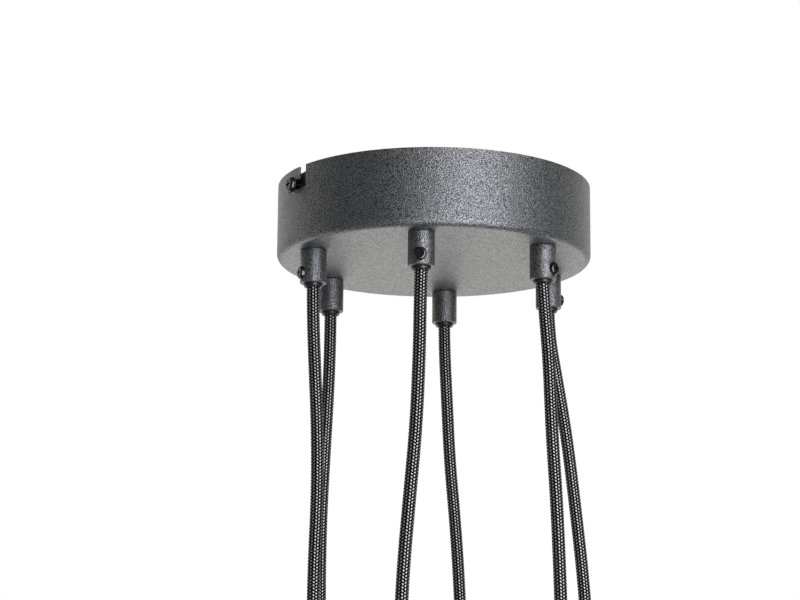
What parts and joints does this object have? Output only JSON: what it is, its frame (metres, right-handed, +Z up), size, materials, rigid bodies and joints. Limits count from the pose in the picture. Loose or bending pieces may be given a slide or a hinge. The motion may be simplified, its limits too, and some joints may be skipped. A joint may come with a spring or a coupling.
{
  "type": "pendant light",
  "caption": "Pendant light: round dark grey ceiling canopy with cord grips round its underside, black textile cords hanging from them and a lampholder on each cord.",
  "frame": {"origin": "on the ceiling plane at the canopy's axis, midway between the bracket's two slots", "axes": "+Z up into the ceiling, the light hangs towards -Z; X along the bracket's strap"},
  "size_m": [0.189, 0.1691, 0.2982],
  "materials": {
    "anthracite_powder_coat": "fine textured matt powder coat, dark grey",
    "zinc_steel": "zinc plated pressed steel",
    "black_steel": "black coated pressed steel, satin",
    "black_nickel_screw": "black nickel plated screw",
    "black_plastic": "black moulded plastic",
    "nipple_steel": "zinc plated turned steel",
    "textile_cord": "black braided textile with a light sheen",
    "terminal_plastic": "natural polyamide",
    "core_brown": "brown core insulation",
    "core_blue": "blue core insulation",
    "core_earth": "green and yellow core insulation",
    "insert_plastic": "black thermoset insert",
    "shell_nickel": "nickel plated brass"
  },
  "bodies": {
    "ceiling_mount": {"ceiling_bracket": "black_steel", "canopy_screws": "black_nickel_screw", "earth_screw": "zinc_steel"},
    "canopy": {"canopy_shell": "anthracite_powder_coat", "grip_screws": "black_nickel_screw", "threaded_nipples": "nipple_steel", "lock_nuts": "nipple_steel", "terminal_block": "terminal_plastic", "terminal_screws": "zinc_steel", "core_brown": "core_brown", "core_blue": "core_blue", "core_earth": "core_earth", "cord_grip_1": "anthracite_powder_coat", "clamp_bush_1": "black_plastic", "cord_tail_1": "textile_cord", "cord_grip_2": "anthracite_powder_coat", "clamp_bush_2": "black_plastic", "cord_tail_2": "textile_cord", "cord_grip_3": "anthracite_powder_coat", "clamp_bush_3": "black_plastic", "cord_tail_3": "textile_cord", "cord_grip_4": "anthracite_powder_coat", "clamp_bush_4": "black_plastic", "cord_tail_4": "textile_cord", "cord_grip_5": "anthracite_powder_coat", "clamp_bush_5": "black_plastic", "cord_tail_5": "textile_cord", "cord_grip_6": "anthracite_powder_coat", "clamp_bush_6": "black_plastic", "cord_tail_6": "textile_cord"},
    "pendant_1": {"cord_1": "textile_cord", "holder_grip_1": "anthracite_powder_coat", "holder_cup_1": "anthracite_powder_coat", "holder_insert_1": "insert_plastic", "holder_contacts_1": "shell_nickel"},
    "pendant_2": {"cord_2": "textile_cord", "holder_grip_2": "anthracite_powder_coat", "holder_cup_2": "anthracite_powder_coat", "holder_insert_2": "insert_plastic", "holder_contacts_2": "shell_nickel"},
    "pendant_3": {"cord_3": "textile_cord", "holder_grip_3": "anthracite_powder_coat", "holder_cup_3": "anthracite_powder_coat", "holder_insert_3": "insert_plastic", "holder_contacts_3": "shell_nickel"},
    "pendant_4": {"cord_4": "textile_cord", "holder_grip_4": "anthracite_powder_coat", "holder_cup_4": "anthracite_powder_coat", "holder_insert_4": "insert_plastic", "holder_contacts_4": "shell_nickel"},
    "pendant_5": {"cord_5": "textile_cord", "holder_grip_5": "anthracite_powder_coat", "holder_cup_5": "anthracite_powder_coat", "holder_insert_5": "insert_plastic", "holder_contacts_5": "shell_nickel"},
    "pendant_6": {"cord_6": "textile_cord", "holder_grip_6": "anthracite_powder_coat", "holder_cup_6": "anthracite_powder_coat", "holder_insert_6": "insert_plastic", "holder_contacts_6": "shell_nickel"}
  },
  "joints": [
    {"name": "canopy_twist", "type": "hinge", "parent": "ceiling_mount", "child": "canopy", "pos_m": [0, 0, -0.02], "axis": [0, 0, 1], "range_deg": [-6, 3.3]},
    {"name": "pendant_swing_1", "type": "hinge", "parent": "canopy", "child": "pendant_1", "pos_m": [0.03786, 0.05406, -0.0582], "axis": [0.8192, -0.5736, 0], "range_deg": [-4, 20]},
    {"name": "pendant_swing_2", "type": "hinge", "parent": "canopy", "child": "pendant_2", "pos_m": [-0.02789, 0.05982, -0.0582], "axis": [0.9063, 0.4226, 0], "range_deg": [-4, 20]},
    {"name": "pendant_swing_3", "type": "hinge", "parent": "canopy", "child": "pendant_3", "pos_m": [-0.06575, 0.00575, -0.0582], "axis": [0.0872, 0.9962, 0], "range_deg": [-4, 20]},
    {"name": "pendant_swing_4", "type": "hinge", "parent": "canopy", "child": "pendant_4", "pos_m": [-0.03786, -0.05406, -0.0582], "axis": [-0.8192, 0.5736, 0], "range_deg": [-4, 20]},
    {"name": "pendant_swing_5", "type": "hinge", "parent": "canopy", "child": "pendant_5", "pos_m": [0.02789, -0.05982, -0.0582], "axis": [-0.9063, -0.4226, 0], "range_deg": [-4, 20]},
    {"name": "pendant_swing_6", "type": "hinge", "parent": "canopy", "child": "pendant_6", "pos_m": [0.06575, -0.00575, -0.0582], "axis": [-0.0872, -0.9962, 0], "range_deg": [-4, 20]}
  ]
}
